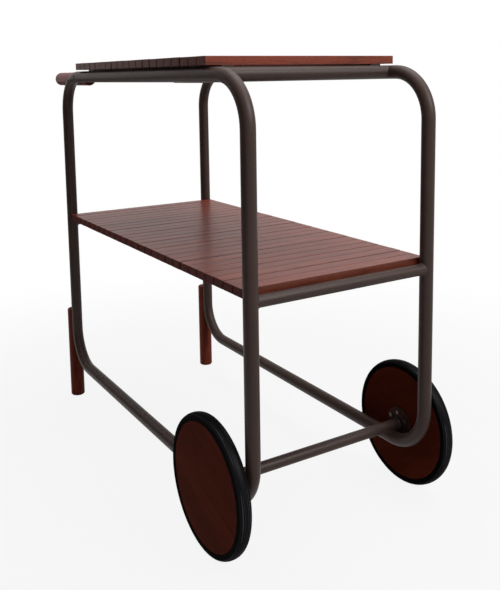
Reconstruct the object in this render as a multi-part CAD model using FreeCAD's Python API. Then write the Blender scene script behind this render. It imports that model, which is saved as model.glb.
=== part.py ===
import FreeCAD, Part
import math
import os

V = FreeCAD.Vector

# Bar cart, in millimetres. X runs along the cart with the wheels at +X and the grips at -X.
# Y runs across it, and the floor is Z = 0. The origin lies on the floor under the middle of the whole.

# Tubes of the frame
tube_d = 26.9  # loops and top cross tubes, outside
tube_wall = 1.5
cross_d = 22.2  # middle cross tubes and axle tube, outside
cross_wall = 1.5
post_spacing = 900.0  # between the axes of the two posts of a loop
loop_spacing = 400.0  # between the middle planes of the two loops
top_rail_z = 864.6  # axis of the top rails
top_tube_setback = 114.0  # top cross tubes from the axes of the posts
middle_tube_z = 486.0  # axis of the middle cross tubes, where the hoops are joined
bend_r = 90.0  # middle line of every bend
weld_fillet = 4.0  # weld round the ends of the middle cross tubes
saddle_d = 18.0  # weld between the axle tube and a bottom rail
weld_gap = 0.05  # a cut end stays this far from the tube that it is welded to

# Shelves
slat_w = 31.6
slat_gap = 2.0
slat_t = 16.0
slat_round = 0.8  # eased upper edges
top_shelf_w = 427.0
middle_shelf_w = 414.0
shelf_end_gap = 0.5  # least room between the middle shelf and the posts
bar_w = 25.4  # flat bars that carry the slats
bar_t = 3.2
middle_bar_rise = 1.6  # underside of the middle bars above the axes of their cross tubes
bar_spacing = 336.0  # between the middle lines of the two bars of a shelf
bar_inset = 2.0  # the top bars stop this far inside the axes of their cross tubes

# Legs and grips, turned from wood
leg_d = 36.0
leg_length = 243.0
leg_offset = 20.0  # the leg's axis behind the post's axis
leg_round = 4.0
grip_d = 34.0
grip_drop = 5.0  # the grip's axis below the rail's axis
grip_nest = 3.5  # how deep the tube sinks into the grip
grip_reach = 132.0  # past the axis of the handle-end posts
grip_round = 12.0  # free end
grip_near_round = 4.0
grip_end_gap = 1.0  # between the grip and the cross tube in front of it
seat_gap = 0.05  # between a groove and its tube

# Screws of the legs and grips
screw_d = 4.2
screw_head_d = 8.0
screw_head_h = 2.8
screw_bite = 12.0  # depth in the wood
screw_hole_gap = 0.2  # round the screw in the tube
pilot_gap = 0.05  # round the screw in the wood
leg_screw_low = 187.0
leg_screw_high = 219.0
grip_screw_front = 4.0  # from the grip's front end
grip_screw_turn = 26.0  # degrees round the bend

# Wheels
wheel_d = 260.0
axle_setback = 94.0  # axle behind the wheel-end posts
tyre_h = 13.0  # rubber outside the disc
disc_t = 24.0
disc_round = 2.0
wheel_gap = 9.55  # between the disc and the outside of the loop
tyre_w = 26.0
tyre_shoulder = 6.5  # height of the straight sides
tyre_key_w = 10.0  # rib inside the tyre, let into the disc
tyre_key_h = 4.0
tyre_gap = 0.05
tread_groove_w = 1.6
tread_groove_t = 1.6
tread_groove_y = 5.0  # from the middle of the tread

# Hub, seen on the inner side of each wheel
flange_d = 66.0
flange_t = 5.0
barrel_d = 30.0
barrel_length = 12.0
barrel_gap = 0.1  # in the pocket of the disc
pocket_floor = 6.0  # wood left in front of the pocket
bush_d = 18.0
bush_fit = 0.02  # radial, bush in its barrel
journal_d = 12.0
journal_fit = 0.04  # radial, journal in the bush
bolt_count = 6
bolt_circle = 48.0
bolt_d = 5.0
bolt_hole_gap = 0.2
bolt_head = 8.0  # across the flats
bolt_head_h = 3.5
bolt_bite = 12.0  # depth in the disc

# Stub axles
axle_end = 1.0  # the axle tube's end past its weld saddle
plug_length = 40.0
plug_fit = 0.02  # radial, plug in the axle tube
side_play = 0.3  # on each side of the turning hub
washer_t = 1.6
washer_d = 24.0
washer_fit = 0.1  # radial, washers on the journal
circlip_t = 1.0
circlip_depth = 0.6  # groove in the journal
circlip_d = 17.0
circlip_slot = 6.0
circlip_gap = 0.05
journal_tip = 1.5  # past the circlip

# Places that follow from the sizes
tube_r = tube_d / 2
cross_r = cross_d / 2
wheel_r = wheel_d / 2
rail_y = loop_spacing / 2
front_reach = max(wheel_r - axle_setback, tube_r)
overall_length = front_reach + post_spacing + grip_reach
wheel_post_x = overall_length / 2 - front_reach
handle_post_x = wheel_post_x - post_spacing
middle_x = (wheel_post_x + handle_post_x) / 2
axle_x = wheel_post_x - axle_setback
axle_z = wheel_r
bottom_rail_z = axle_z - cross_r - tube_r
slat_pitch = slat_w + slat_gap
top_room = post_spacing - 2 * top_tube_setback
top_slat_count = int((top_room + slat_gap) / slat_pitch)
middle_room = post_spacing - tube_d - 2 * shelf_end_gap
middle_slat_count = int((middle_room + slat_gap) / slat_pitch)
top_bar_z = top_rail_z + tube_r
middle_bar_z = middle_tube_z + middle_bar_rise
top_tube_front_x = wheel_post_x - top_tube_setback
top_tube_rear_x = handle_post_x + top_tube_setback
leg_x = handle_post_x - leg_offset
grip_y = rail_y - tube_r - grip_d / 2 + grip_nest
grip_z = top_rail_z - grip_drop
grip_front_x = top_tube_rear_x - tube_r - grip_end_gap
grip_rear_x = handle_post_x - grip_reach
disc_in = rail_y + tube_r + wheel_gap
disc_out = disc_in + disc_t
disc_mid = (disc_in + disc_out) / 2
disc_r = wheel_r - tyre_h
flange_in = disc_in - flange_t
barrel_out = disc_in + barrel_length
pocket_out = disc_out - pocket_floor
axle_tube_y = rail_y + saddle_d / 2 + axle_end
shoulder_y = flange_in - 2 * side_play - washer_t
clip_washer_y = barrel_out + side_play
clip_y = clip_washer_y + washer_t
journal_out = clip_y + circlip_t + journal_tip
tube_bore = cross_d - 2 * cross_wall


# Helpers

def rod(diameter, start, end):
    along = end - start
    return Part.makeCylinder(diameter / 2, along.Length, start, along)


def round_edges(shape):
    return [edge for edge in shape.Edges if isinstance(edge.Curve, Part.Circle)]


def turned(outline, side):
    """A solid turned about the wheel axis. The outline is given as radius and distance from the middle plane."""
    points = [V(axle_x + radius, side * out, axle_z) for radius, out in outline]
    face = Part.Face(Part.makePolygon(points + points[:1]))
    solid = face.revolve(V(axle_x, 0, axle_z), V(0, 1, 0), 360)
    if solid.Volume < 0:
        solid.reverse()
    return solid


def ring(outer_r, inner_r, start, end, side):
    return turned([(inner_r, start), (outer_r, start), (outer_r, end), (inner_r, end)], side)


def bar_across(diameter, x, z, half):
    return rod(diameter, V(x, -half, z), V(x, half, z))


# Loops

def hoop_path(side, rail_z):
    """Middle line of half a loop: along one post, the rail and the other post, with two bends."""
    y = side * rail_y
    way = 1 if rail_z > middle_tube_z else -1
    near = bend_r * (1 - math.sqrt(0.5))
    start = V(handle_post_x, y, middle_tube_z)
    bend_1_in = V(handle_post_x, y, rail_z - way * bend_r)
    bend_1_mid = V(handle_post_x + near, y, rail_z - way * near)
    bend_1_out = V(handle_post_x + bend_r, y, rail_z)
    bend_2_in = V(wheel_post_x - bend_r, y, rail_z)
    bend_2_mid = V(wheel_post_x - near, y, rail_z - way * near)
    bend_2_out = V(wheel_post_x, y, rail_z - way * bend_r)
    end = V(wheel_post_x, y, middle_tube_z)
    edges = [
        Part.makeLine(start, bend_1_in),
        Part.Arc(bend_1_in, bend_1_mid, bend_1_out).toShape(),
        Part.makeLine(bend_1_out, bend_2_in),
        Part.Arc(bend_2_in, bend_2_mid, bend_2_out).toShape(),
        Part.makeLine(bend_2_out, end),
    ]
    return Part.Wire(edges)


def hoop_solid(side, rail_z, radius):
    path = hoop_path(side, rail_z)
    section = Part.Wire(Part.makeCircle(radius, V(handle_post_x, side * rail_y, middle_tube_z)))
    return path.makePipeShell([section], True, False)


def hoop(side, rail_z, screw_holes):
    tube = hoop_solid(side, rail_z, tube_r).cut(hoop_solid(side, rail_z, tube_r - tube_wall))
    return tube.cut(screw_holes)


# Cross tubes

def top_cross_tube(x):
    """Tube between the top rails, with its ends cut to the round of the rails."""
    tube = bar_across(tube_d, x, top_rail_z, rail_y).cut(bar_across(tube_d - 2 * tube_wall, x, top_rail_z, rail_y))
    run = V(2 * tube_d, 0, 0)
    for side in (-1, 1):
        centre = V(x, side * rail_y, top_rail_z)
        tube = tube.cut(rod(tube_d + 2 * weld_gap, centre - run, centre + run))
    return tube


def middle_cross_tube(x):
    """Tube between two posts, with a weld fillet round each end."""
    body = bar_across(cross_d, x, middle_tube_z, rail_y)
    rise = V(0, 0, 2 * tube_d)
    posts = []
    for side in (-1, 1):
        centre = V(x, side * rail_y, middle_tube_z)
        posts.append(rod(tube_d + 2 * weld_gap, centre - rise, centre + rise))
    joined = body.fuse(posts).removeSplitter()
    seams = [edge for edge in joined.Edges if is_weld_seam(edge, x)]
    joined = joined.makeFillet(weld_fillet, seams)
    tube = joined.cut(posts)
    return tube.cut(bar_across(tube_bore, x, middle_tube_z, rail_y))


def is_weld_seam(edge, x):
    """True for the curve where a cross tube enters a post."""
    box = edge.BoundBox
    near_tube = abs(box.Center.z - middle_tube_z) < cross_d and box.ZLength < 1.01 * cross_d
    curved = not isinstance(edge.Curve, (Part.Line, Part.LineSegment))
    inside = abs(box.Center.y) < rail_y - tube_r / 4
    return near_tube and curved and inside


def axle_tube():
    """Tube lying on the two bottom rails, with a weld saddle on each."""
    tube = bar_across(cross_d, axle_x, axle_z, axle_tube_y)
    for side in (-1, 1):
        saddle = rod(saddle_d, V(axle_x, side * rail_y, bottom_rail_z), V(axle_x, side * rail_y, axle_z))
        saddle = saddle.cut(hoop_solid(side, bottom_rail_z, tube_r + weld_gap))
        tube = tube.fuse(saddle)
    return tube.cut(bar_across(tube_bore, axle_x, axle_z, axle_tube_y)).removeSplitter()


# Shelves

def slat(x, width, z):
    """One slat lying across the cart, with its two upper long edges eased."""
    body = Part.makeBox(slat_w, width, slat_t, V(x, -width / 2, z))
    top = z + slat_t
    edges = [e for e in body.Edges if e.BoundBox.YLength > width / 2 and e.BoundBox.ZMin > top - slat_t / 2]
    return body.makeFillet(slat_round, edges)


def shelf(count, width, z):
    first_x = middle_x - (count * slat_pitch - slat_gap) / 2
    return Part.makeCompound([slat(first_x + i * slat_pitch, width, z) for i in range(count)])


def top_bar(side):
    length = top_room - 2 * bar_inset
    corner = V(middle_x - length / 2, side * bar_spacing / 2 - bar_w / 2, top_bar_z)
    return Part.makeBox(length, bar_w, bar_t, corner)


def middle_bar(side):
    """Flat bar between the middle cross tubes, with its ends cut to their round."""
    corner = V(handle_post_x, side * bar_spacing / 2 - bar_w / 2, middle_bar_z)
    bar = Part.makeBox(post_spacing, bar_w, bar_t, corner)
    for x in (handle_post_x, wheel_post_x):
        bar = bar.cut(bar_across(cross_d + 2 * weld_gap, x, middle_tube_z, rail_y))
    return bar


# Screws, legs and grips

def screw(seat, along, gap):
    """Round-head screw. The head's flat side lies at the seat, and the gap widens the shank for its hole."""
    reach = tube_d + screw_bite
    shank = Part.makeCylinder(screw_d / 2 + gap, reach, seat, along)
    head = Part.makeCylinder(screw_head_d / 2, screw_head_h, seat, along * -1)
    crown = [e for e in round_edges(head) if (e.Curve.Center - seat).Length > screw_head_h / 2]
    return shank.fuse(head.makeFillet(0.8 * screw_head_h, crown))


def leg_screws(side, gap):
    """Screws through the front of the post into the leg. The lower one sits where the bend begins."""
    screws = []
    for z in (leg_screw_low, leg_screw_high):
        drop = max(bottom_rail_z + bend_r - z, 0.0)
        sweep = bend_r - math.sqrt(bend_r ** 2 - drop ** 2)
        lean = math.asin(drop / bend_r)
        along = V(-math.cos(lean), 0, -math.sin(lean))
        axis = V(handle_post_x + sweep, side * rail_y, z)
        screws.append(screw(axis - along * tube_r, along, gap))
    return screws


def grip_screws(side, gap):
    """Screws through the rail from outside into the grip, one on the straight and one on the bend."""
    turn = math.radians(grip_screw_turn)
    bend_start = handle_post_x + bend_r
    places = [
        (grip_front_x - grip_screw_front, top_rail_z),
        (bend_start - bend_r * math.sin(turn), top_rail_z - bend_r * (1 - math.cos(turn))),
    ]
    along = V(0, -side, 0)
    return [screw(V(x, side * (rail_y + tube_r), z), along, gap) for x, z in places]


def leg(side):
    body = rod(leg_d, V(leg_x, side * rail_y, 0), V(leg_x, side * rail_y, leg_length))
    body = body.makeFillet(leg_round, round_edges(body))
    body = body.cut(hoop_solid(side, bottom_rail_z, tube_r + seat_gap))
    return body.cut(leg_screws(side, pilot_gap))


def grip(side):
    y = side * grip_y
    body = rod(grip_d, V(grip_front_x, y, grip_z), V(grip_rear_x, y, grip_z))
    ends = round_edges(body)
    free_end = [e for e in ends if e.Curve.Center.x < handle_post_x]
    body = body.makeFillet(grip_round, free_end)
    near_end = [e for e in round_edges(body) if e.Curve.Center.x > grip_front_x - 1]
    body = body.makeFillet(grip_near_round, near_end)
    body = body.cut(hoop_solid(side, top_rail_z, tube_r + seat_gap))
    return body.cut(grip_screws(side, pilot_gap))


# Wheels

def bolt_places(side):
    places = []
    for i in range(bolt_count):
        angle = 2 * math.pi * (i + 0.5) / bolt_count
        x = axle_x + bolt_circle / 2 * math.cos(angle)
        z = axle_z + bolt_circle / 2 * math.sin(angle)
        places.append(V(x, side * flange_in, z))
    return places


def bolt_shanks(side, gap):
    along = V(0, side, 0)
    reach = flange_t + bolt_bite
    return [Part.makeCylinder(bolt_d / 2 + gap, reach, place, along) for place in bolt_places(side)]


def hub_bolts(side):
    """Hexagon bolts that hold the flange on the inner face of the disc."""
    bolts = []
    for place, shank in zip(bolt_places(side), bolt_shanks(side, 0)):
        corner = bolt_head / 2 / math.cos(math.pi / 6)
        points = []
        for i in range(6):
            angle = math.pi / 3 * i
            points.append(place + V(corner * math.cos(angle), 0, corner * math.sin(angle)))
        head = Part.Face(Part.makePolygon(points + points[:1])).extrude(V(0, -side * bolt_head_h, 0))
        bolts.append(head.fuse(shank))
    return Part.makeCompound(bolts)


def wheel_disc(side):
    """Wooden disc with a groove round its rim for the tyre and a pocket for the hub, closed in front."""
    body = ring(disc_r, 0, disc_in, disc_out, side)
    body = body.makeFillet(disc_round, round_edges(body))
    groove_r = disc_r - tyre_key_h - tyre_gap
    half = tyre_key_w / 2 + tyre_gap
    groove = ring(disc_r + disc_round, groove_r, disc_mid - half, disc_mid + half, side)
    pocket = ring(barrel_d / 2 + barrel_gap, 0, disc_in - disc_round, pocket_out, side)
    return body.cut([groove, pocket] + bolt_shanks(side, pilot_gap))


def tyre(side):
    """Solid rubber tyre with a round tread, two fine grooves and a rib that sits in the rim's groove."""
    base = disc_r + tyre_gap
    half = tyre_w / 2
    shoulder = base + tyre_shoulder

    def point(radius, out):
        return V(axle_x + radius, side * (disc_mid + out), axle_z)

    corners = [
        point(shoulder, -half),
        point(base, -half),
        point(base, -tyre_key_w / 2),
        point(base - tyre_key_h, -tyre_key_w / 2),
        point(base - tyre_key_h, tyre_key_w / 2),
        point(base, tyre_key_w / 2),
        point(base, half),
        point(shoulder, half),
    ]
    tread = Part.Arc(corners[-1], point(wheel_r, 0), corners[0]).toShape()
    face = Part.Face(Part.Wire(Part.makePolygon(corners).Edges + [tread]))
    body = face.revolve(V(axle_x, 0, axle_z), V(0, 1, 0), 360)
    if body.Volume < 0:
        body.reverse()
    for out in (-tread_groove_y, tread_groove_y):
        start = disc_mid + out - tread_groove_w / 2
        body = body.cut(ring(wheel_r + 1, wheel_r - tread_groove_t, start, start + tread_groove_w, side))
    return body


def hub_flange(side):
    """Flange with a barrel that reaches into the disc and holds the bush."""
    bore = bush_d / 2 + bush_fit
    outline = [
        (bore, flange_in),
        (flange_d / 2, flange_in),
        (flange_d / 2, disc_in),
        (barrel_d / 2, disc_in),
        (barrel_d / 2, barrel_out),
        (bore, barrel_out),
    ]
    return turned(outline, side).cut(bolt_shanks(side, bolt_hole_gap))


def hub_bush(side):
    return ring(bush_d / 2, journal_d / 2 + journal_fit, flange_in, barrel_out, side)


def stub_axle(side):
    """Turned pin: a plug in the axle tube, a shoulder and a journal with a groove for the circlip."""
    plug_r = tube_bore / 2 - plug_fit
    journal_r = journal_d / 2
    neck_r = journal_r - circlip_depth
    outline = [
        (0, axle_tube_y - plug_length),
        (plug_r, axle_tube_y - plug_length),
        (plug_r, axle_tube_y),
        (cross_r, axle_tube_y),
        (cross_r, shoulder_y),
        (journal_r, shoulder_y),
        (journal_r, clip_y),
        (neck_r, clip_y),
        (neck_r, clip_y + circlip_t),
        (journal_r, clip_y + circlip_t),
        (journal_r, journal_out),
        (0, journal_out),
    ]
    return turned(outline, side)


def journal_washer(side, start):
    return ring(washer_d / 2, journal_d / 2 + washer_fit, start, start + washer_t, side)


def circlip(side):
    """Open spring ring in the groove of the journal."""
    neck_r = journal_d / 2 - circlip_depth + circlip_gap
    body = ring(circlip_d / 2, neck_r, clip_y + circlip_gap, clip_y + circlip_t - circlip_gap, side)
    depth = 2 * circlip_t
    middle = side * (clip_y + circlip_t / 2)
    slot = Part.makeBox(circlip_slot, depth, circlip_d, V(axle_x - circlip_slot / 2, middle - depth / 2, axle_z))
    return body.cut(slot)


# The whole cart

def build():
    nodes = {
        "top_front_cross_tube": top_cross_tube(top_tube_front_x),
        "top_rear_cross_tube": top_cross_tube(top_tube_rear_x),
        "middle_front_cross_tube": middle_cross_tube(wheel_post_x),
        "middle_rear_cross_tube": middle_cross_tube(handle_post_x),
        "axle_tube": axle_tube(),
        "top_shelf_slats": shelf(top_slat_count, top_shelf_w, top_bar_z + bar_t),
        "middle_shelf_slats": shelf(middle_slat_count, middle_shelf_w, middle_bar_z + bar_t),
    }
    for name, side in (("left", -1), ("right", 1)):
        nodes[name + "_upper_hoop"] = hoop(side, top_rail_z, grip_screws(side, screw_hole_gap))
        nodes[name + "_lower_hoop"] = hoop(side, bottom_rail_z, leg_screws(side, screw_hole_gap))
        nodes[name + "_top_shelf_bar"] = top_bar(side)
        nodes[name + "_middle_shelf_bar"] = middle_bar(side)
        nodes[name + "_leg"] = leg(side)
        nodes[name + "_leg_screws"] = Part.makeCompound(leg_screws(side, 0))
        nodes[name + "_handle_grip"] = grip(side)
        nodes[name + "_grip_screws"] = Part.makeCompound(grip_screws(side, 0))
        nodes[name + "_stub_axle"] = stub_axle(side)
        nodes[name + "_thrust_washer"] = journal_washer(side, shoulder_y + side_play)
        nodes[name + "_retaining_washer"] = journal_washer(side, clip_washer_y)
        nodes[name + "_circlip"] = circlip(side)
        nodes[name + "_wheel_disc"] = wheel_disc(side)
        nodes[name + "_tyre"] = tyre(side)
        nodes[name + "_hub_flange"] = hub_flange(side)
        nodes[name + "_hub_bush"] = hub_bush(side)
        nodes[name + "_hub_bolts"] = hub_bolts(side)
    return nodes


os.makedirs("parts", exist_ok=True)
for node, shape in build().items():
    shape.exportStep("parts/" + node + ".step")
    print(node, len(shape.Solids), shape.isValid(), round(shape.Volume))
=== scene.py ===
import math
import random

import bmesh
import bpy
from mathutils import Matrix, Vector


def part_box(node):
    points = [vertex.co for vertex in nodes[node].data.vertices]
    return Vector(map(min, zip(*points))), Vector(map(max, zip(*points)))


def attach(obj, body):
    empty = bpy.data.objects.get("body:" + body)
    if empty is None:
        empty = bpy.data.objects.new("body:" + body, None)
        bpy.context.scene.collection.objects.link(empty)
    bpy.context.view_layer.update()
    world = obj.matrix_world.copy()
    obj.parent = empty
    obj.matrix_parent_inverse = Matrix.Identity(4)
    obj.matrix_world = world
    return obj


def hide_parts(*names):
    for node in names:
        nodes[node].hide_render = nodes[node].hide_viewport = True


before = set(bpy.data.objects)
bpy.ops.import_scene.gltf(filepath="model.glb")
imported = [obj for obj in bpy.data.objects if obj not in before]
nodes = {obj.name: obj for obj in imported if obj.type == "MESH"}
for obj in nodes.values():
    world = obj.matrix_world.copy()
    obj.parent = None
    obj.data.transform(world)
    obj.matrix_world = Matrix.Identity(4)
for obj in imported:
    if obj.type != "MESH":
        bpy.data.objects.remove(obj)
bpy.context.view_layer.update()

# Bar cart, in metres. X runs along the cart with the wheels at +X, Y runs across it, and the floor is Z = 0.
sides = (("left", -1), ("right", 1))

# Slats, and how far one may differ from the next in place, length and thickness
slat_w = 0.0316
slat_gap = 0.002
slat_pitch = slat_w + slat_gap
slat_t = 0.016
slat_round = 0.0008
slat_break = 0.0006
top_count = 20
middle_count = 26
stray_x = 0.00025
stray_y = 0.0004
shorter = 0.0014
thinner, thicker = 0.018, 0.006

# Tyres
tyre_w = 0.026
tyre_h = 0.013
tyre_shoulder = 0.0065
groove_places = (0.00497, 0.00836)
groove_d = 0.0011

# Weld beads
weld_r = 0.004
weld_t = 0.0008
weld_lap = 0.0030
weld_sink = 0.00012

# Screws of the legs and grips
bend_r = 0.090
leg_screw_heights = (0.187, 0.219)
grip_screw_inset = 0.004
grip_screw_turn = math.radians(26)

# Boards that the wheel discs are glued up from
board_w = 0.078
board_tilt = {"left": 0.35, "right": -0.6}


def centre(node):
    low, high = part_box(node)
    return (low + high) / 2


def extent(node):
    low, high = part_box(node)
    return high - low


rail_y = centre("right_upper_hoop").y
tube_r = extent("right_upper_hoop").y / 2
top_rail_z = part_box("right_upper_hoop")[1].z - tube_r
post_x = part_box("right_lower_hoop")[0].x + tube_r
bend_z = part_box("right_lower_hoop")[0].z + tube_r + bend_r
bar_y = centre("right_top_shelf_bar").y
axle_x, wheel_y, axle_z = centre("right_wheel_disc")
disc_r = extent("right_wheel_disc").x / 2


# Materials

class Tone:
    """An output of a material's nodes. Sums of tones and numbers are written as Python."""

    def __init__(self, tree, socket):
        self.tree = tree
        self.socket = socket

    def node(self, kind, settings=(), values=(), out=0):
        """Adds a node: its settings first, then the values or links of its sockets."""
        made = self.tree.nodes.new("ShaderNode" + kind)
        for name, value in dict(settings).items():
            setattr(made, name, value)
        for name, value in dict(values).items():
            if isinstance(value, Tone):
                self.tree.links.new(value.socket, made.inputs[name])
            else:
                made.inputs[name].default_value = value
        return Tone(self.tree, made.outputs[out])

    def math(self, operation, *others):
        return self.node("Math", {"operation": operation}, enumerate((self,) + others))

    def __add__(self, other):
        return self.math("ADD", other)

    def __radd__(self, other):
        return self.math("ADD", other)

    def __sub__(self, other):
        return self.math("SUBTRACT", other)

    def __rsub__(self, other):
        return self.node("Math", {"operation": "SUBTRACT"}, {0: other, 1: self})

    def __mul__(self, other):
        return self.math("MULTIPLY", other)

    def __rmul__(self, other):
        return self.math("MULTIPLY", other)

    def __truediv__(self, other):
        return self.math("DIVIDE", other)

    def __rtruediv__(self, other):
        return self.node("Math", {"operation": "DIVIDE"}, {0: other, 1: self})

    def step(self, low, high, start=0.0, end=1.0):
        """Goes smoothly from start to end while the tone goes from low to high."""
        bounds = {"Value": self, "From Min": low, "From Max": high, "To Min": start, "To Max": end}
        return self.node("MapRange", {"interpolation_type": "SMOOTHSTEP"}, bounds)

    def noise(self, scale, detail=3.0, rough=0.5, twist=0.0):
        """Noise over these coordinates."""
        kind = {"Vector": self, "Scale": scale, "Detail": detail, "Roughness": rough, "Distortion": twist}
        return self.node("TexNoise", {}, kind)

    def draw(self):
        """A random number from 0 to 1, the same wherever this tone is the same."""
        return self.node("TexWhiteNoise", {"noise_dimensions": "1D"}, {"W": self})

    def stretch(self, x, y, z):
        return self.node("VectorMath", {"operation": "MULTIPLY"}, {0: self, 1: (x, y, z)})

    def shift(self, other):
        return self.node("VectorMath", {"operation": "ADD"}, {0: self, 1: other})

    def length(self):
        return self.node("VectorMath", {"operation": "LENGTH"}, {0: self}, 1)

    def part(self, axis):
        return self.node("SeparateXYZ", {}, {0: self}, "XYZ".index(axis))

    def blend(self, under, over):
        """Colour that goes from under to over with this tone."""
        return self.node("Mix", {"data_type": "RGBA", "blend_type": "MIX"}, {0: self, 6: under, 7: over}, 2)


def colour(red, green, blue):
    """A colour given as on a screen, from 0 to 255."""
    linear = []
    for value in (red, green, blue):
        share = value / 255
        linear.append(share / 12.92 if share <= 0.04045 else ((share + 0.055) / 1.055) ** 2.4)
    return (*linear, 1.0)


def toned(shade, share, more=0):
    """The colour of a screen shade that is made lighter or darker."""
    return colour(*[value * share + more for value in shade])


def deepened(linear, share):
    """A colour with only this share of its light."""
    return (*[value * share for value in linear[:3]], 1.0)


def finish(name):
    """A new material: its shader and its object coordinates."""
    material = bpy.data.materials.new(name)
    material.use_nodes = True
    tree = material.node_tree
    places = tree.nodes.new("ShaderNodeTexCoord")
    return material, tree.nodes["Principled BSDF"], Tone(tree, places.outputs["Object"])


def facing(place, axis):
    """How far the surface faces along an axis, from -1 to 1."""
    return place.node("TexCoord", out="Normal").part(axis)


def wire(shader, **inputs):
    """Sets or links the shader's inputs."""
    for name, value in inputs.items():
        socket = shader.inputs[name.replace("_", " ")]
        if isinstance(value, Tone):
            value.tree.links.new(value.socket, socket)
        else:
            socket.default_value = value


def relief(height, depth, strength):
    """Surface direction over bumps of this depth."""
    return height.node("Bump", {}, {"Strength": strength, "Distance": depth, "Height": height})


def satin_paint(name, shade, gloss, rough):
    """Satin powder coat: fine orange peel, faint clouds and a little rubbing."""
    material, shader, place = finish(name)
    clouds = place.noise(9.0, 4.0, 0.6).step(0.35, 0.65)
    speck = place.noise(1400.0, 2.0, 0.6)
    peel = place.noise(620.0, 2.0, 0.5)
    lightened = place.noise(38.0, 5.0, 0.62).step(0.62, 0.78)
    paint = clouds.blend(toned(shade, 0.96), toned(shade, 1.04))
    paint = (speck.step(0.60, 0.78) * 0.22).blend(paint, toned(shade, 1.40))
    paint = (lightened * 0.10).blend(paint, toned(shade, 1.22, 4))
    wire(
        shader,
        Base_Color=paint,
        Roughness=clouds * 0.04 + peel * 0.08 + lightened * 0.04 + (rough - 0.07),
        Specular_IOR_Level=gloss,
        Normal=relief(peel + speck * 0.35, 0.00022, 0.30),
    )
    return material


def grain(place, light, middle, dark, figure):
    """Colour, pores, streaks and fibres of a red-brown hardwood whose grain runs along X of these coordinates."""
    sway = place.stretch(1.6, 9.0, 9.0).noise(1.0, 3.0, 0.5)
    bent = place.shift(sway.node("CombineXYZ", {}, {1: sway * 0.010, 2: sway * 0.008}))
    streak = bent.stretch(9.0, 95.0, 95.0).noise(1.0, 6.0, 0.62, 0.4)
    band = bent.stretch(1.1, 24.0, 24.0).noise(1.0, 3.0, 0.5, 0.8)
    fibre = bent.stretch(14.0, 720.0, 720.0).noise(1.0, 3.0, 0.55)
    pore = place.stretch(55.0, 1250.0, 1250.0).noise(1.0, 2.0, 0.5).step(0.62, 0.74)
    wood = band.step(0.30, 0.70).blend(middle, light)
    wood = (streak.step(0.42, 0.68) * (0.75 * figure)).blend(wood, dark)
    wood = (fibre.step(0.45, 0.75) * 0.28).blend(wood, dark)
    wood = (pore * 0.55).blend(wood, deepened(dark, 0.35))
    return wood, pore, streak, fibre


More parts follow.
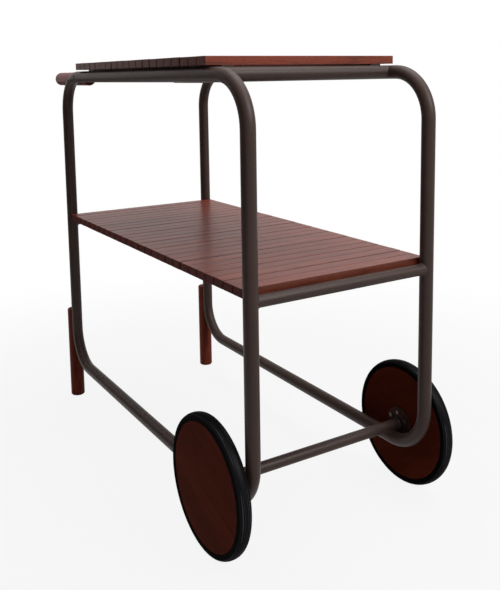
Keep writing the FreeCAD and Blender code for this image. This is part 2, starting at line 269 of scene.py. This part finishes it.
def slat_varnish(name, node, count, edge_painted_tone, edge_painted_share, foot_painted_shade, end_gloss, seed):
    """Varnished slats, each with its own tone and grain, darker end grain and lightly rubbed upper edges, with
    painted light and shade on the long edges, undersides and slat ends.
    """
    material, shader, place = finish(name)
    low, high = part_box(node)

    # Which slat this is, how far from its middle line, and two numbers of its own
    along = (place.part("X") - (low.x - slat_gap / 2)) / slat_pitch
    number = along.math("FLOOR")
    across = (along - number) * slat_pitch - slat_pitch / 2
    own = (number * 1.37 + (seed + 4.1)).draw()
    other = (number * 2.71 + (seed + 11.3)).draw()
    turned = place.node("CombineXYZ", {}, {
        0: place.part("Y") + other * 3.0,
        1: place.part("X") + number * 0.07,
        2: place.part("Z") + own * 0.9,
    })
    wood, pore, streak, fibre = grain(turned, colour(146, 66, 48), colour(126, 54, 41), colour(86, 34, 27), 0.85)
    wood = (own * 0.35).blend(wood, colour(88, 34, 27))
    wood = (other.step(0.45, 1.0) * 0.25).blend(wood, colour(134, 68, 44))

    # End grain, long edges and undersides, with painted light and shade on the long edges and painted shade on the
    # undersides
    ends = facing(place, "Y").math("ABSOLUTE").step(0.75, 0.95)
    rings = turned.stretch(1.0, 150.0, 260.0).noise(1.0, 4.0, 0.6, 1.2)
    wood = (ends * (0.58 + rings * 0.30)).blend(wood, colour(60, 32, 30))
    edges = facing(place, "X").math("ABSOLUTE").step(0.75, 0.95)
    fleck = turned.stretch(110.0, 460.0, 460.0).noise(1.0, 3.0, 0.6).step(0.50, 0.68)
    # The long edges facing X get a tone of their own, which stands in for how the lamps fall on them: painted light
    # and shade
    wood = (edges * edge_painted_share).blend(wood, edge_painted_tone)
    wood = (fleck * (0.05 + edges * 0.25)).blend(wood, colour(58, 24, 18))
    wood = (streak.step(0.48, 0.62) * edges * 0.38).blend(wood, colour(64, 25, 17))
    # Painted shade: the long edges grow darker towards their foot, where the tube below shades them
    shaded_foot = place.part("Z").step(high.z - slat_t, high.z - 0.4 * slat_t, 1.0, 0.0)
    wood = (edges * shaded_foot * foot_painted_shade).blend(wood, colour(50, 27, 22))
    # Undersides: matt and unvarnished, and painted darker as shade under the slats
    under = facing(place, "Z").step(-0.9, -0.6, 1.0, 0.0)
    wood = (under * 0.6).blend(wood, colour(60, 30, 24))

    # Painted shade in a band along both sides of each slat end, by the joints; darker lines along the joints, which
    # come and go along them; and wear beside them
    half = slat_w / 2
    border = across.math("ABSOLUTE")
    wood = (border.step(half - 0.0026, half - 0.0008) * ends * 0.85).blend(wood, colour(22, 13, 13))
    inside = along.step(0.07, 0.12) * along.step(count - 0.12, count - 0.07, 1.0, 0.0)
    soft = turned.stretch(7.0, 3.0, 3.0).noise(1.0, 3.0, 0.6).step(0.40, 0.62)
    gap = border.step(half - 0.0009, half - 0.0002) * inside * (0.05 + soft * 0.70 + other * 0.20)
    wood = gap.blend(wood, colour(34, 14, 11))
    rub = border.step(half - 0.0022, half - 0.0006) * place.part("Z").step(high.z - 0.003, high.z - 0.0004)
    worn = rub * place.stretch(90.0, 24.0, 90.0).noise(1.0, 4.0, 0.6).step(0.38, 0.70)
    wood = (worn * 0.12).blend(wood, colour(146, 84, 62))

    # Varnish, which is thinner on the ends and edges and in the joints
    sheen = place.noise(7.0, 3.0, 0.55)
    varnish = (1 - ends * (1 - end_gloss)) * (1 - under) * (1 - gap * 0.5) * (1 - edges * 0.4)
    wire(
        shader,
        Base_Color=wood,
        Roughness=0.30 + sheen * 0.10 + pore * 0.05 + worn * 0.12 + gap * 0.4 + ends * 0.25 + under * 0.55,
        Specular_IOR_Level=0.06,
        Coat_Weight=varnish * (0.49 + sheen * 0.08),
        Coat_Roughness=0.27,
        Normal=relief(fibre * 0.5 - pore, 0.00006, 0.06),
    )
    return material


def turned_varnish(name, node, axis, shades, gloss):
    """Varnished turned wood with its grain along the axis X or Z, and end grain on its two ends."""
    material, shader, place = finish(name)
    local = place.shift(tuple(-value for value in centre(node)))
    if axis == "X":
        lying = local
    else:
        lying = local.node("CombineXYZ", {}, {0: local.part("Z"), 1: local.part("X"), 2: local.part("Y")})
    wood, pore, _, fibre = grain(lying, *shades, 0.9)
    ends = facing(place, axis).math("ABSOLUTE").step(0.72, 0.92)
    rings = lying.stretch(0.0, 1.0, 1.25).shift((0.0, 0.004, -0.003)).length()
    year = (rings * 3100.0 + lying.noise(60.0, 2.0, 0.5) * 5.0).math("SINE")
    wood = (ends * (0.45 + year * 0.18)).blend(wood, deepened(shades[-1], 0.45))
    wire(
        shader,
        Base_Color=wood,
        Roughness=0.30 + local.noise(22.0, 3.0, 0.5) * 0.12 + pore * 0.12 + ends * 0.18,
        Specular_IOR_Level=gloss,
        Normal=relief(fibre * 0.6 - pore, 0.00012, 0.35),
    )
    return material


def disc_varnish(name, side, tilt):
    """Dark stained wheel disc, glued up from boards whose grain runs across it."""
    material, shader, place = finish(name)
    seat = {"Vector": place, "Location": (axle_x, side * wheel_y, axle_z), "Rotation": (0.0, tilt, 0.0)}
    lying = place.node("Mapping", {"vector_type": "TEXTURE"}, seat)
    height = lying.part("Z") / board_w + 0.5
    board = height.math("FLOOR")
    tint = (board * 1.9 + side * 3.3 + 7.0).draw()
    moved = lying.node("CombineXYZ", {}, {
        0: lying.part("X") + board * 0.43,
        1: lying.part("Y"),
        2: lying.part("Z") + board * 0.21,
    })
    wood, pore, _, fibre = grain(moved, colour(96, 40, 25), colour(83, 32, 19), colour(64, 24, 14), 0.55)
    wood = (tint * 0.25).blend(wood, colour(68, 25, 15))
    rim = lying.stretch(1.0, 0.0, 1.0).length()
    scuff = rim.step(disc_r - 0.007, disc_r - 0.001) * lying.noise(120.0, 4.0, 0.6).step(0.45, 0.72)
    wood = (scuff * 0.35).blend(wood, colour(128, 72, 52))
    seam = (height - board - 0.5).math("ABSOLUTE").step(0.493, 0.499)
    wood = (seam * 0.5).blend(wood, colour(34, 13, 10))
    wire(
        shader,
        Base_Color=wood,
        Roughness=0.36 + lying.noise(16.0, 3.0, 0.5) * 0.12 + pore * 0.10 + scuff * 0.15,
        Specular_IOR_Level=0.003,
        Normal=relief(fibre * 0.5 - pore - seam * 2.0, 0.00012, 0.30),
    )
    return material


def rubber(name, side):
    """Black rubber: moulding rings on its sides, and a dusty tread with painted highlights on its crests in patches.
    """
    material, shader, place = finish(name)
    local = place.shift((-axle_x, -side * wheel_y, -axle_z))
    across = local.part("Y")
    reach = local.stretch(1.0, 0.0, 1.0).length()
    rings = (reach * 5200.0).math("SINE")
    ribs = (across * 4200.0).math("SINE")
    tread = reach.step(disc_r + 0.0075, disc_r + 0.0095)
    dust = local.noise(46.0, 5.0, 0.65).step(0.45, 0.80) * tread
    grit = local.noise(900.0, 2.0, 0.6)
    black = grit.blend(colour(15, 14, 16), colour(22, 21, 24))
    black = ((1 - tread) * 0.6).blend(black, colour(8, 5, 7))
    black = (dust * 0.15).blend(black, colour(30, 29, 29))
    # Painted highlights: pale grey lines along the tread's crests, in patches
    inner_crest = (across.math("ABSOLUTE") - 0.0036).math("ABSOLUTE").step(0.0001, 0.0004, 1.0, 0.0)
    outer_crest = (across.math("ABSOLUTE") - 0.0068).math("ABSOLUTE").step(0.0002, 0.0006, 1.0, 0.0)
    patch = local.noise(11.0, 3.0, 0.6).step(0.42, 0.66)
    lightened = (outer_crest + inner_crest * 0.6) * tread * patch
    black = (lightened * 0.55).blend(black, colour(112, 113, 120))
    wire(
        shader,
        Base_Color=black,
        Roughness=0.42 + dust * 0.22 + grit * 0.08,
        Specular_IOR_Level=0.002,
        Coat_Weight=tread * 0.075,
        Coat_Roughness=0.42,
        Normal=relief(ribs * 0.5 * tread + rings * 0.4 * (1 - tread) + grit * 0.6, 0.00016, 0.45),
    )
    return material


def metal(name, shade, rough):
    """Plain machined or plated metal with fine turning marks and a little dulling."""
    material, shader, place = finish(name)
    dull = place.noise(180.0, 4.0, 0.6)
    marks = place.stretch(300.0, 3000.0, 300.0).noise(1.0, 2.0, 0.6)
    wire(
        shader,
        Base_Color=dull.step(0.35, 0.7).blend(toned(shade, 0.8), colour(*shade)),
        Metallic=1.0,
        Roughness=rough + dull * 0.14 + marks * 0.06,
        Normal=relief(marks, 0.00005, 0.4),
    )
    return material


def nylon(name, shade):
    """Moulded nylon with a faint haze."""
    material, shader, place = finish(name)
    haze = place.noise(260.0, 3.0, 0.6)
    wire(
        shader,
        Base_Color=haze.blend(toned(shade, 0.88), colour(*shade)),
        Roughness=0.42 + haze * 0.12,
        Specular_IOR_Level=0.2,
        Normal=relief(haze, 0.00008, 0.3),
    )
    return material


brown_paint = satin_paint("satin_brown_paint", (62, 47, 42), 0.18, 0.45)
hub_enamel = satin_paint("dark_hub_enamel", (64, 43, 38), 0.015, 0.42)
bolt_metal = metal("darkened_bolt_steel", (94, 85, 80), 0.38)
axle_metal = metal("turned_axle_steel", (150, 150, 150), 0.26)
screw_metal = metal("browned_screw_steel", (96, 86, 78), 0.34)
bronze = metal("bush_bronze", (172, 124, 72), 0.34)
black_nylon = nylon("washer_nylon", (44, 43, 42))


# Modelling

def let_go():
    """Object mode, with nothing selected."""
    if bpy.context.mode != "OBJECT":
        bpy.ops.object.mode_set(mode="OBJECT")
    bpy.ops.object.select_all(action="DESELECT")


def take(*pieces):
    """Selects the pieces, the first as the active one."""
    let_go()
    for piece in pieces:
        piece.select_set(True)
    bpy.context.view_layer.objects.active = pieces[0]


def work():
    """Edit mode on the piece just added."""
    bpy.ops.object.mode_set(mode="EDIT")
    return bpy.context.object


def pick(kind, wanted):
    """Selects the points, edges or faces whose middle is wanted."""
    bpy.ops.mesh.select_mode(type=kind)
    bpy.ops.mesh.select_all(action="DESELECT")
    mesh = bpy.context.object.data
    shape = bmesh.from_edit_mesh(mesh)
    for part in {"VERT": shape.verts, "EDGE": shape.edges, "FACE": shape.faces}[kind]:
        corners = [part] if kind == "VERT" else part.verts
        middle = sum((corner.co for corner in corners), Vector()) / len(corners)
        if wanted(middle):
            part.select_set(True)
    shape.select_flush_mode()
    bmesh.update_edit_mesh(mesh)


def pull(way):
    """Extrudes the selected faces."""
    bpy.ops.mesh.extrude_region_move(TRANSFORM_OT_translate={"value": way})


def pull_edges(way):
    """Extrudes the selected edges."""
    bpy.ops.mesh.extrude_edges_move(TRANSFORM_OT_translate={"value": way})


def tidy_mesh():
    """Closes seams and points every face outwards."""
    bpy.ops.mesh.select_mode(type="VERT")
    bpy.ops.mesh.select_all(action="SELECT")
    bpy.ops.mesh.remove_doubles(threshold=0.00001)
    bpy.ops.mesh.normals_make_consistent(inside=False)


def put(piece, move, turn=Matrix(), size=(1.0, 1.0, 1.0)):
    """A copy of the piece with its own mesh, sized, turned about the origin and moved."""
    copy = piece.copy()
    copy.data = piece.data.copy()
    bpy.context.scene.collection.objects.link(copy)
    copy.data.transform(Matrix.Translation(move) @ turn @ Matrix.Diagonal((*size, 1.0)))
    return copy


def gather(name, pieces):
    """Joins the pieces into one with smooth faces and crisp edges."""
    take(*pieces)
    if len(pieces) > 1:
        bpy.ops.object.join()
    piece = bpy.context.object
    piece.name = name
    piece.data.name = name
    bpy.ops.object.shade_smooth_by_angle(angle=math.radians(34))
    bpy.ops.object.modifier_add(type="WEIGHTED_NORMAL")
    piece.modifiers[-1].keep_sharp = True
    bpy.ops.object.modifier_apply(modifier=piece.modifiers[-1].name)
    let_go()
    return piece


def throw_away(piece):
    bpy.data.objects.remove(piece)


def dress(piece, body, material):
    """Gives a new piece its finish and the body that it rides on."""
    piece.data.materials.clear()
    piece.data.materials.append(material)
    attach(piece, body)


# Slats

def slat(width):
    """One slat about the origin, its underside at Z = 0, with eased upper edges and lightly broken ends."""
    let_go()
    bpy.ops.mesh.primitive_cube_add(size=1.0, location=(0.0, 0.0, 0.0))
    piece = work()
    bpy.ops.transform.resize(value=(slat_w, width, slat_t))
    bpy.ops.transform.translate(value=(0.0, 0.0, slat_t / 2))
    pick("EDGE", lambda m: m.z > 0.9 * slat_t and abs(m.x) > 0.4 * slat_w)
    bpy.ops.mesh.bevel(offset=slat_round, segments=4, affect="EDGES")
    # The edges of both ends, except along the underside
    pick("EDGE", lambda m: abs(m.y) > 0.499 * width and m.z > 0.002)
    bpy.ops.mesh.bevel(offset=slat_break, segments=2, affect="EDGES")
    bpy.ops.object.mode_set(mode="OBJECT")
    return piece


def shelf(node, name, material, count, seed):
    """A row of slats, each a hair different in length, thickness and place."""
    low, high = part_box(node)
    pattern = slat(high.y - low.y)
    chance = random.Random(seed)
    rows = []
    for i in range(count):
        x = low.x + slat_w / 2 + i * slat_pitch
        move = (x + chance.uniform(-stray_x, stray_x), chance.uniform(-stray_y, stray_y), low.z)
        size = (1.0, 1.0 + chance.uniform(-shorter, 0.0), 1.0 + chance.uniform(-thinner, thicker))
        rows.append(put(pattern, move, size=size))
    throw_away(pattern)
    piece = gather(name, rows)
    dress(piece, "frame", material)
    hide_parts(node)


top_varnish = slat_varnish(
    "top_slat_varnish", "top_shelf_slats", top_count,
    edge_painted_tone=colour(129, 56, 34), edge_painted_share=0.54, foot_painted_shade=0.10, end_gloss=0.45, seed=0.0,
)
# The middle shelf's seed is picked so that its front slats take darker tones: painted shade where less light falls
# on them
middle_varnish = slat_varnish(
    "middle_slat_varnish", "middle_shelf_slats", middle_count,
    edge_painted_tone=colour(108, 60, 43), edge_painted_share=0.62, foot_painted_shade=0.0, end_gloss=0.02, seed=94.7,
)
shelf("top_shelf_slats", "top_slats", top_varnish, top_count, 3)
shelf("middle_shelf_slats", "middle_slats", middle_varnish, middle_count, 8)


# Tyres

def tyre():
    """Rubber tyre about the left wheel's axis: a round tread with fine grooves on straight sides."""
    let_go()
    section_points, turn_steps = 72, 168
    shoulder = axle_x + disc_r + tyre_shoulder
    middle = (shoulder, -wheel_y, axle_z)
    hub = (axle_x, -wheel_y, axle_z)
    bpy.ops.mesh.primitive_circle_add(vertices=section_points, radius=tyre_w / 2, location=middle)
    piece = bpy.context.object
    bpy.ops.object.transform_apply(location=True, rotation=False, scale=False)
    work()

    # The section: its outer half flattened to the tread, its inner half pressed flat on the disc
    crown = (tyre_h - tyre_shoulder) / (tyre_w / 2)
    pick("VERT", lambda m: m.x > shoulder - 0.00001)
    bpy.ops.transform.resize(value=(crown, 1.0, 1.0), center_override=middle)
    pick("VERT", lambda m: m.x < shoulder - 0.00001)
    bpy.ops.transform.resize(value=(0.0, 1.0, 1.0), center_override=(axle_x + disc_r, -wheel_y, axle_z))
    bpy.ops.mesh.select_all(action="SELECT")
    bpy.ops.mesh.spin(steps=turn_steps, angle=2 * math.pi, center=hub, axis=(0.0, 1.0, 0.0))
    tidy_mesh()

    for place in groove_places:
        def groove(m):
            reach = math.hypot(m.x - axle_x, m.z - axle_z)
            return reach > disc_r + tyre_shoulder + 0.001 and abs(abs(m.y + wheel_y) - place) < 0.0005
        pick("FACE", groove)
        bpy.ops.mesh.extrude_region_shrink_fatten(TRANSFORM_OT_shrink_fatten={"value": -groove_d})
    bpy.ops.object.mode_set(mode="OBJECT")
    return piece


left_tyre = tyre()
right_tyre = put(left_tyre, (0.0, 2 * wheel_y, 0.0))
for (side_name, side), piece in zip(sides, (left_tyre, right_tyre)):
    piece = gather(side_name + "_rubber_tyre", [piece])
    dress(piece, side_name + "_wheel", rubber(side_name + "_tyre_rubber", side))
    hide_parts(side_name + "_tyre")


# Welds where the top cross tubes meet the rails

def weld(x, half, side):
    """A smooth bead in one corner between a cross tube and a rail of the same size. It thins out to both crowns."""
    rounds, steps = 28, 9
    sweep = 0.985 * math.pi
    let_go()
    bpy.ops.mesh.primitive_grid_add(x_subdivisions=rounds, y_subdivisions=steps, size=1.0, location=(0.0, 0.0, 0.0))
    piece = work()
    shape = bmesh.from_edit_mesh(piece.data)
    back = Vector((0.0, -side, 0.0))
    out = Vector((half, 0.0, 0.0))
    for point in shape.verts:
        # A corner point where the tubes cross, then the hollow round of the bead, and a lap onto each tube
        angle = sweep * point.co.x
        row = round((point.co.y + 0.5) * steps)
        height, width = math.sin(angle), math.cos(angle)
        corner = Vector((x + half * tube_r * width, side * (rail_y - tube_r * width), top_rail_z + tube_r * height))
        reach = weld_r * math.tan(math.acos(height * height) / 2)
        turn = math.radians(90) * min(max(row - 1, 0), steps - 2) / (steps - 2)
        place = corner + reach * (back * (1 - math.sin(turn)) + out * (1 - math.cos(turn)))
        if row == 0:
            place += weld_lap * back - weld_sink * Vector((half * width, 0.0, height))
        elif row == steps:
            place += weld_lap * out - weld_sink * Vector((0.0, -side * width, height))
        point.co = place
    bmesh.update_edit_mesh(piece.data)
    bpy.ops.mesh.select_all(action="SELECT")
    bpy.ops.mesh.normals_make_consistent(inside=False)
    shape = bmesh.from_edit_mesh(piece.data)
    shape.normal_update()
    if sum(face.normal.dot(out + back) for face in shape.faces) < 0:
        bpy.ops.mesh.flip_normals()
    bpy.ops.object.mode_set(mode="OBJECT")
    bpy.ops.object.modifier_add(type="SOLIDIFY")
    wall = piece.modifiers[-1]
    wall.thickness = weld_t
    wall.offset = -1.0
    bpy.ops.object.modifier_apply(modifier=wall.name)
    return piece


beads = []
for tube in ("top_front_cross_tube", "top_rear_cross_tube"):
    for side in (-1, 1):
        for half in (-1, 1):
            beads.append(weld(centre(tube).x, half, side))
dress(gather("top_weld_beads", beads), "frame", brown_paint)


# Screws that hold the slats, one through each bar into each slat

def slat_screw():
    """Pan head below the origin, with a round recess."""
    head_r, side_h, crown_h, crown_share = 0.0043, 0.0012, 0.0010, 0.72
    recess_rim, recess_d = 0.0012, 0.0012
    let_go()
    bpy.ops.mesh.primitive_circle_add(vertices=12, radius=head_r, fill_type="NGON", location=(0.0, 0.0, 0.0))
    piece = work()
    bpy.ops.mesh.select_all(action="SELECT")
    pull((0.0, 0.0, -side_h))
    pull((0.0, 0.0, -crown_h))
    bpy.ops.transform.resize(value=(crown_share, crown_share, 1.0))
    bpy.ops.mesh.inset(thickness=recess_rim)
    pull((0.0, 0.0, recess_d))
    tidy_mesh()
    bpy.ops.object.mode_set(mode="OBJECT")
    return piece


pattern = slat_screw()
screws = []
for count, slats, bar in (
    (top_count, "top_shelf_slats", "left_top_shelf_bar"),
    (middle_count, "middle_shelf_slats", "left_middle_shelf_bar"),
):
    first_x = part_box(slats)[0].x + slat_w / 2
    bar_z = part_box(bar)[0].z
    for i in range(count):
        for side in (-1, 1):
            spin = Matrix.Rotation(random.Random(i * 2 + side).uniform(0.0, 1.0), 4, "Z")
            screws.append(put(pattern, (first_x + i * slat_pitch, side * bar_y, bar_z), spin))
throw_away(pattern)
dress(gather("slat_screws", screws), "frame", screw_metal)


# Screws that hold the legs and grips, let into the tubes

def flush_screw():
    """Low head whose rim lies at Z = 0, with a hexagonal recess."""
    head_r, head_d = 0.0039, 0.0014
    rim_h, rim_share = 0.0003, 0.93
    crown_h, crown_share = 0.0002, 0.80
    hex_r, hex_d = 0.0018, 0.0013
    let_go()
    bpy.ops.mesh.primitive_circle_add(vertices=24, radius=head_r, location=(0.0, 0.0, 0.0))
    piece = work()
    bpy.ops.transform.translate(value=(0.0, 0.0, -head_d))
    bpy.ops.mesh.edge_face_add()
    pick("EDGE", lambda m: True)
    pull_edges((0.0, 0.0, head_d))
    pull_edges((0.0, 0.0, rim_h))
    bpy.ops.transform.resize(value=(rim_share, rim_share, 1.0))
    pull_edges((0.0, 0.0, crown_h))
    bpy.ops.transform.resize(value=(crown_share, crown_share, 1.0))
    bpy.ops.mesh.primitive_circle_add(vertices=6, radius=hex_r, location=(0.0, 0.0, rim_h + crown_h))
    pull_edges((0.0, 0.0, -hex_d))
    bpy.ops.mesh.edge_face_add()
    pick("EDGE", lambda m: m.z > rim_h + 0.95 * crown_h)
    bpy.ops.mesh.bridge_edge_loops()
    tidy_mesh()
    bpy.ops.object.mode_set(mode="OBJECT")
    return piece


pattern = flush_screw()
for side_name, side in sides:
    # In the legs, square to the lower bend
    heads = []
    for z in leg_screw_heights:
        lean = math.asin(max(bend_z - z, 0.0) / bend_r)
        turn = Matrix.Rotation(math.radians(90) - lean, 4, "Y")
        axis = Vector((post_x + bend_r * (1 - math.cos(lean)), side * rail_y, z))
        heads.append(put(pattern, axis + turn @ Vector((0.0, 0.0, tube_r)), turn))
    piece = gather(side_name + "_leg_screw_heads", heads)
    dress(piece, "frame", brown_paint)
    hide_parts(side_name + "_leg_screws")

    # In the grips, from outside: one through the rail and one through the upper bend
    on_rail = (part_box(side_name + "_handle_grip")[1].x - grip_screw_inset, top_rail_z)
    on_bend = (
        post_x + bend_r * (1 - math.sin(grip_screw_turn)),
        top_rail_z - bend_r * (1 - math.cos(grip_screw_turn)),
    )
    turn = Matrix.Rotation(math.radians(-90) * side, 4, "X")
    heads = [put(pattern, (x, side * (rail_y + tube_r), z), turn) for x, z in (on_rail, on_bend)]
    piece = gather(side_name + "_grip_screw_heads", heads)
    dress(piece, "frame", brown_paint)
    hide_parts(side_name + "_grip_screws")
throw_away(pattern)


# Finishes of the pieces that keep their solids

def coat(node, material):
    slots = nodes[node].data.materials
    slots.clear()
    slots.append(material)


# The right leg's colours are lighter than the left's: painted light
leg_shades = {
    "left": (colour(126, 56, 37), colour(105, 44, 29), colour(66, 26, 17)),
    "right": (colour(142, 66, 47), colour(121, 54, 39), colour(77, 31, 21)),
}
grip_shades = (colour(116, 53, 43), colour(96, 42, 34), colour(65, 27, 22))

for node in (
    "top_front_cross_tube", "top_rear_cross_tube", "middle_front_cross_tube", "middle_rear_cross_tube", "axle_tube",
):
    coat(node, brown_paint)
for side_name, side in sides:
    leg, grip = side_name + "_leg", side_name + "_handle_grip"
    coat(leg, turned_varnish(leg + "_varnish", leg, "Z", leg_shades[side_name], 0.04))
    coat(grip, turned_varnish(grip + "_varnish", grip, "X", grip_shades, 0.07))
    coat(side_name + "_wheel_disc", disc_varnish(side_name + "_disc_varnish", side, board_tilt[side_name]))
    for piece, material in (
        ("upper_hoop", brown_paint),
        ("lower_hoop", brown_paint),
        ("top_shelf_bar", brown_paint),
        ("middle_shelf_bar", brown_paint),
        ("hub_flange", hub_enamel),
        ("hub_bush", bronze),
        ("hub_bolts", bolt_metal),
        ("stub_axle", axle_metal),
        ("circlip", axle_metal),
        ("thrust_washer", black_nylon),
        ("retaining_washer", axle_metal),
    ):
        coat(side_name + "_" + piece, material)


# Studio: pale floor, white surroundings, four soft lamps, and cards out of the camera's sight

def background_rays(tree):
    """1 for what is seen, mirrored or looked through, 0 for light that falls on things."""
    rays = tree.nodes.new("ShaderNodeLightPath")
    seen = Tone(tree, rays.outputs["Is Camera Ray"])
    mirrored = Tone(tree, rays.outputs["Is Glossy Ray"])
    through = Tone(tree, rays.outputs["Is Transmission Ray"])
    return seen.math("MAXIMUM", mirrored).math("MAXIMUM", through)


def white_surroundings():
    """A world that looks white and gives a weak, slightly warm light."""
    world = bpy.data.worlds.new("white_surroundings")
    bpy.context.scene.world = world
    world.use_nodes = True
    tree = world.node_tree
    tree.nodes.clear()
    shown = background_rays(tree)
    light = shown.node("Background", {}, {"Color": (1.0, 0.985, 0.97, 1.0), "Strength": 0.28})
    white = shown.node("Background", {}, {"Color": (1.0, 1.0, 1.0, 1.0), "Strength": 1.0})
    mixed = shown.node("MixShader", {}, {0: shown, 1: light, 2: white})
    end = tree.nodes.new("ShaderNodeOutputWorld")
    tree.links.new(mixed.socket, end.inputs["Surface"])


def pale_floor():
    """A floor that keeps a faint shadow under the cart and turns white further out."""
    floor_size, floor_drop = 14.0, 0.0003
    let_go()
    bpy.ops.mesh.primitive_plane_add(size=floor_size, location=(0.0, 0.0, 0.0))
    floor = bpy.context.object
    floor.name = "pale_floor"
    work()
    bpy.ops.transform.translate(value=(0.0, 0.0, -floor_drop))
    bpy.ops.object.mode_set(mode="OBJECT")
    material = bpy.data.materials.new("pale_floor")
    material.use_nodes = True
    tree = material.node_tree
    tree.nodes.clear()
    shown = background_rays(tree)
    away = shown.node("TexCoord", out="Object").length()
    white = away.step(0.6, 1.7, 0.885, 1.0) * shown
    matt = shown.node("BsdfDiffuse", {}, {"Color": (0.38, 0.38, 0.38, 1.0)})
    clear = shown.node("Emission", {}, {"Color": (1.0, 1.0, 1.0, 1.0), "Strength": 1.0})
    mixed = shown.node("MixShader", {}, {0: white, 1: matt, 2: clear})
    end = tree.nodes.new("ShaderNodeOutputMaterial")
    tree.links.new(mixed.socket, end.inputs["Surface"])
    floor.data.materials.append(material)
    let_go()


def card(name, shade, start, end, low, high):
    """An upright card between two points of the floor, which shades the cart and shows in its gloss."""
    let_go()
    bpy.ops.mesh.primitive_plane_add(size=1.0, location=(0.0, 0.0, 0.0))
    sheet = bpy.context.object
    sheet.name = name
    work()
    shape = bmesh.from_edit_mesh(sheet.data)
    corners = ((*start, low), (*end, low), (*start, high), (*end, high))
    for point, corner in zip(sorted(shape.verts, key=lambda v: (v.co.y, v.co.x)), corners):
        point.co = corner
    bmesh.update_edit_mesh(sheet.data)
    bpy.ops.object.mode_set(mode="OBJECT")
    material = bpy.data.materials.new(name)
    material.use_nodes = True
    shader = material.node_tree.nodes["Principled BSDF"]
    wire(shader, Base_Color=(shade, shade, shade, 1.0), Roughness=1.0, Specular_IOR_Level=0.0)
    sheet.data.materials.append(material)
    sheet.visible_camera = False
    let_go()


def lamp(name, place, aim, size, power, tint=(1.0, 1.0, 1.0), mirrored=True, falling=True):
    """A soft lamp. Its light shows in gloss where it is mirrored, and falls on matt surfaces where it is falling."""
    light = bpy.data.lights.new(name, "AREA")
    light.shape = "RECTANGLE"
    light.size, light.size_y = size
    light.energy = power
    light.color = tint
    holder = bpy.data.objects.new(name, light)
    holder.visible_glossy = mirrored
    holder.visible_diffuse = falling
    bpy.context.scene.collection.objects.link(holder)
    holder.location = place
    holder.rotation_euler = (Vector(aim) - Vector(place)).to_track_quat("-Z", "Y").to_euler()


def camera():
    """The photograph's viewpoint. The lens and its axis are given in pixels of an image 590 high."""
    image_h, focal, axis_row = 590, 771.528, 175
    turn, tilt, roll = (math.radians(angle) for angle in (58.525, 7.387, -0.864))
    eye = bpy.data.cameras.new("viewpoint")
    eye.lens = focal / image_h * eye.sensor_width
    eye.shift_y = (axis_row - image_h / 2) / image_h
    eye.clip_start = 0.05
    ahead = Vector((-math.sin(turn) * math.cos(tilt), math.cos(turn) * math.cos(tilt), -math.sin(tilt)))
    right = Vector((math.cos(turn), math.sin(turn), 0.0))
    up = right.cross(ahead)
    level = math.cos(roll) * right + math.sin(roll) * up
    upright = math.cos(roll) * up - math.sin(roll) * right
    holder = bpy.data.objects.new("viewpoint", eye)
    bpy.context.scene.collection.objects.link(holder)
    place = Matrix((level, upright, -ahead)).transposed().to_4x4()
    place.translation = (1.564435, -0.850180, 0.863062)
    holder.matrix_world = place
    bpy.context.scene.camera = holder


white_surroundings()
pale_floor()
lamp("front_softbox", (2.9, 0.7, 2.75), (0.1, 0.0, 0.45), (2.2, 1.8), 60.0, tint=(1.0, 0.985, 0.96))
lamp("overhead_softbox", (0.2, 0.6, 3.2), (0.1, 0.0, 0.4), (2.4, 2.4), 66.0)
lamp("side_softbox", (-1.2, -1.35, 1.25), (0.0, 0.0, 0.45), (2.0, 1.4), 17.0, mirrored=False)
lamp("corner_softbox", (2.7, 1.2, 2.35), (0.45, 0.0, 0.8), (1.0, 1.5), 50.0, falling=False)
card("left_card", 0.10, (-2.4, -1.5), (1.3, -1.5), 0.0, 2.3)
card("low_card", 0.10, (-1.6, -1.5), (-1.6, 0.3), 0.0, 0.6)
card("back_card", 0.86, (-1.58, -0.01), (0.9, 2.4), 0.5, 2.4)
camera()
bpy.context.scene.view_settings.view_transform = "Standard"

bpy.context.view_layer.update()
